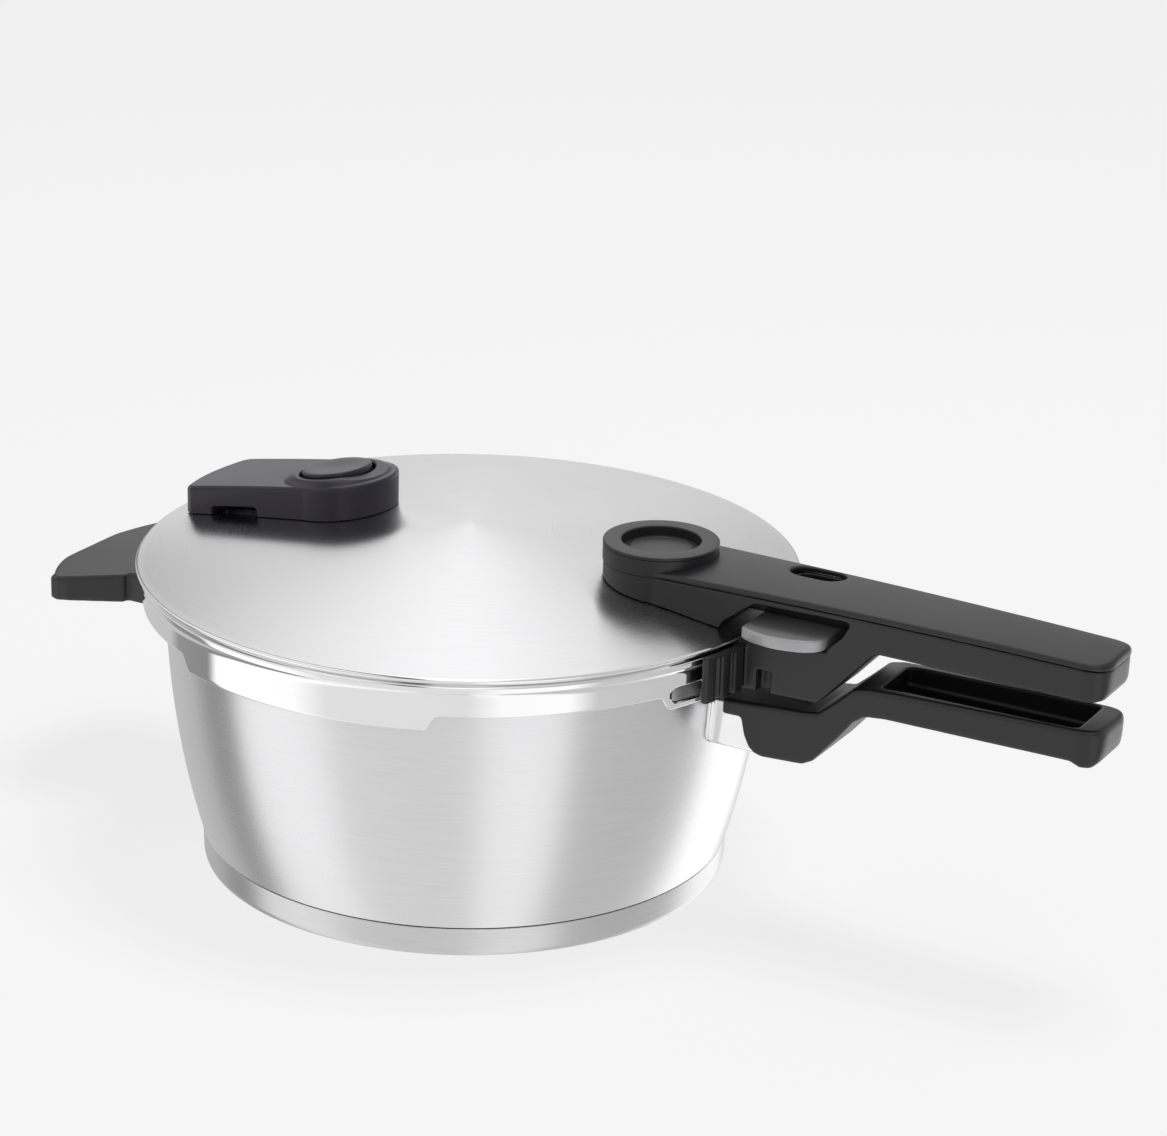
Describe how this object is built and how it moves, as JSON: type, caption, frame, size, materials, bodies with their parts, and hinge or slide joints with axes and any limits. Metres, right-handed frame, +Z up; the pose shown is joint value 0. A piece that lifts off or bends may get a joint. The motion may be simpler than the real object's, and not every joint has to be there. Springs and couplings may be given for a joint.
{
  "type": "stovetop pressure cooker",
  "caption": "Steel saucepan-shaped pressure cooker with bayonet lid, long twin handle, release key, helper handle and rising pressure button.",
  "frame": {"origin": "centre of the base's flat underside, on the worktop", "axes": "+Z up, +X along the long handle, +Y to the left of someone who holds that handle and looks at the pot from behind it"},
  "size_m": [0.4377, 0.249, 0.1446],
  "materials": {
    "body_steel": "fine circumferential satin brushing",
    "base_steel": "satin, ground flat underneath",
    "lid_steel": "circular satin brushing on the dome, polished skirt",
    "polished_steel": "polished",
    "core_aluminium": "plain, sealed inside the base",
    "screw_steel": "plain bright steel",
    "spring_steel": "bright wire",
    "handle_black": "black moulded phenolic, fine matte grain",
    "disc_black": "black moulded, satin",
    "valve_black": "black moulded phenolic, slightly violet sheen",
    "key_silver": "satin silver",
    "silicone_grey": "matte silicone",
    "silicone_white": "matte silicone",
    "sleeve_white": "white with two rings",
    "flag_green": "green",
    "cap_red": "red"
  },
  "bodies": {
    "pot": {"pot_body": "body_steel", "base_core": "core_aluminium", "base_capsule": "base_steel", "pot_bracket": "polished_steel", "pot_handle": "handle_black", "pot_handle_screw": "screw_steel", "helper_bracket": "polished_steel", "helper_handle": "handle_black", "helper_screws": "screw_steel"},
    "ring": {"gasket": "silicone_grey"},
    "lid": {"lid_shell": "lid_steel", "lid_handle_cover": "handle_black", "lid_handle_base": "handle_black", "hub_disc": "disc_black", "hub_screw": "screw_steel", "hub_washer": "silicone_grey", "cover_screw": "screw_steel", "key_spring": "spring_steel", "float_seat": "silicone_white", "valve_housing": "valve_black", "valve_seat": "polished_steel", "valve_seal": "silicone_grey", "valve_nut": "polished_steel", "housing_screw": "screw_steel", "valve_spring": "spring_steel"},
    "key": {"release_key": "key_silver", "lock_flag": "flag_green"},
    "bolt": {"lock_bolt": "screw_steel"},
    "float": {"float_pin": "screw_steel", "float_cap": "cap_red"},
    "valve": {"valve_button": "valve_black", "indicator_sleeve": "sleeve_white", "valve_stem": "polished_steel", "stem_washer": "silicone_grey"}
  },
  "joints": [
    {"name": "lid_lift", "type": "slide", "parent": "pot", "child": "ring", "axis": [0, 0, 1], "range_m": [0, 0.12]},
    {"name": "lid_turn", "type": "hinge", "parent": "ring", "child": "lid", "pos_m": [0, 0, 0], "axis": [0, 0, 1], "range_deg": [0, 60]},
    {"name": "key_slide", "type": "slide", "parent": "lid", "child": "key", "axis": [-1, 0, 0], "range_m": [0, 0.006], "stiffness_N_per_m": 400, "springref_m": -0.004, "deforming": ["key_spring"]},
    {"name": "bolt_lift", "type": "slide", "parent": "lid", "child": "bolt", "axis": [0, 0, 1], "range_m": [0, 0.0048]},
    {"name": "float_rise", "type": "slide", "parent": "lid", "child": "float", "axis": [0, 0, 1], "range_m": [0, 0.0026]},
    {"name": "button_rise", "type": "slide", "parent": "lid", "child": "valve", "axis": [-0.1736, 0, 0.9848], "range_m": [0, 0.008], "stiffness_N_per_m": 900, "springref_m": -0.003, "deforming": ["valve_spring"]}
  ],
  "couplings": [
    {"joint": "bolt_lift", "follows": "key_slide", "ratio": 0.8}
  ]
}
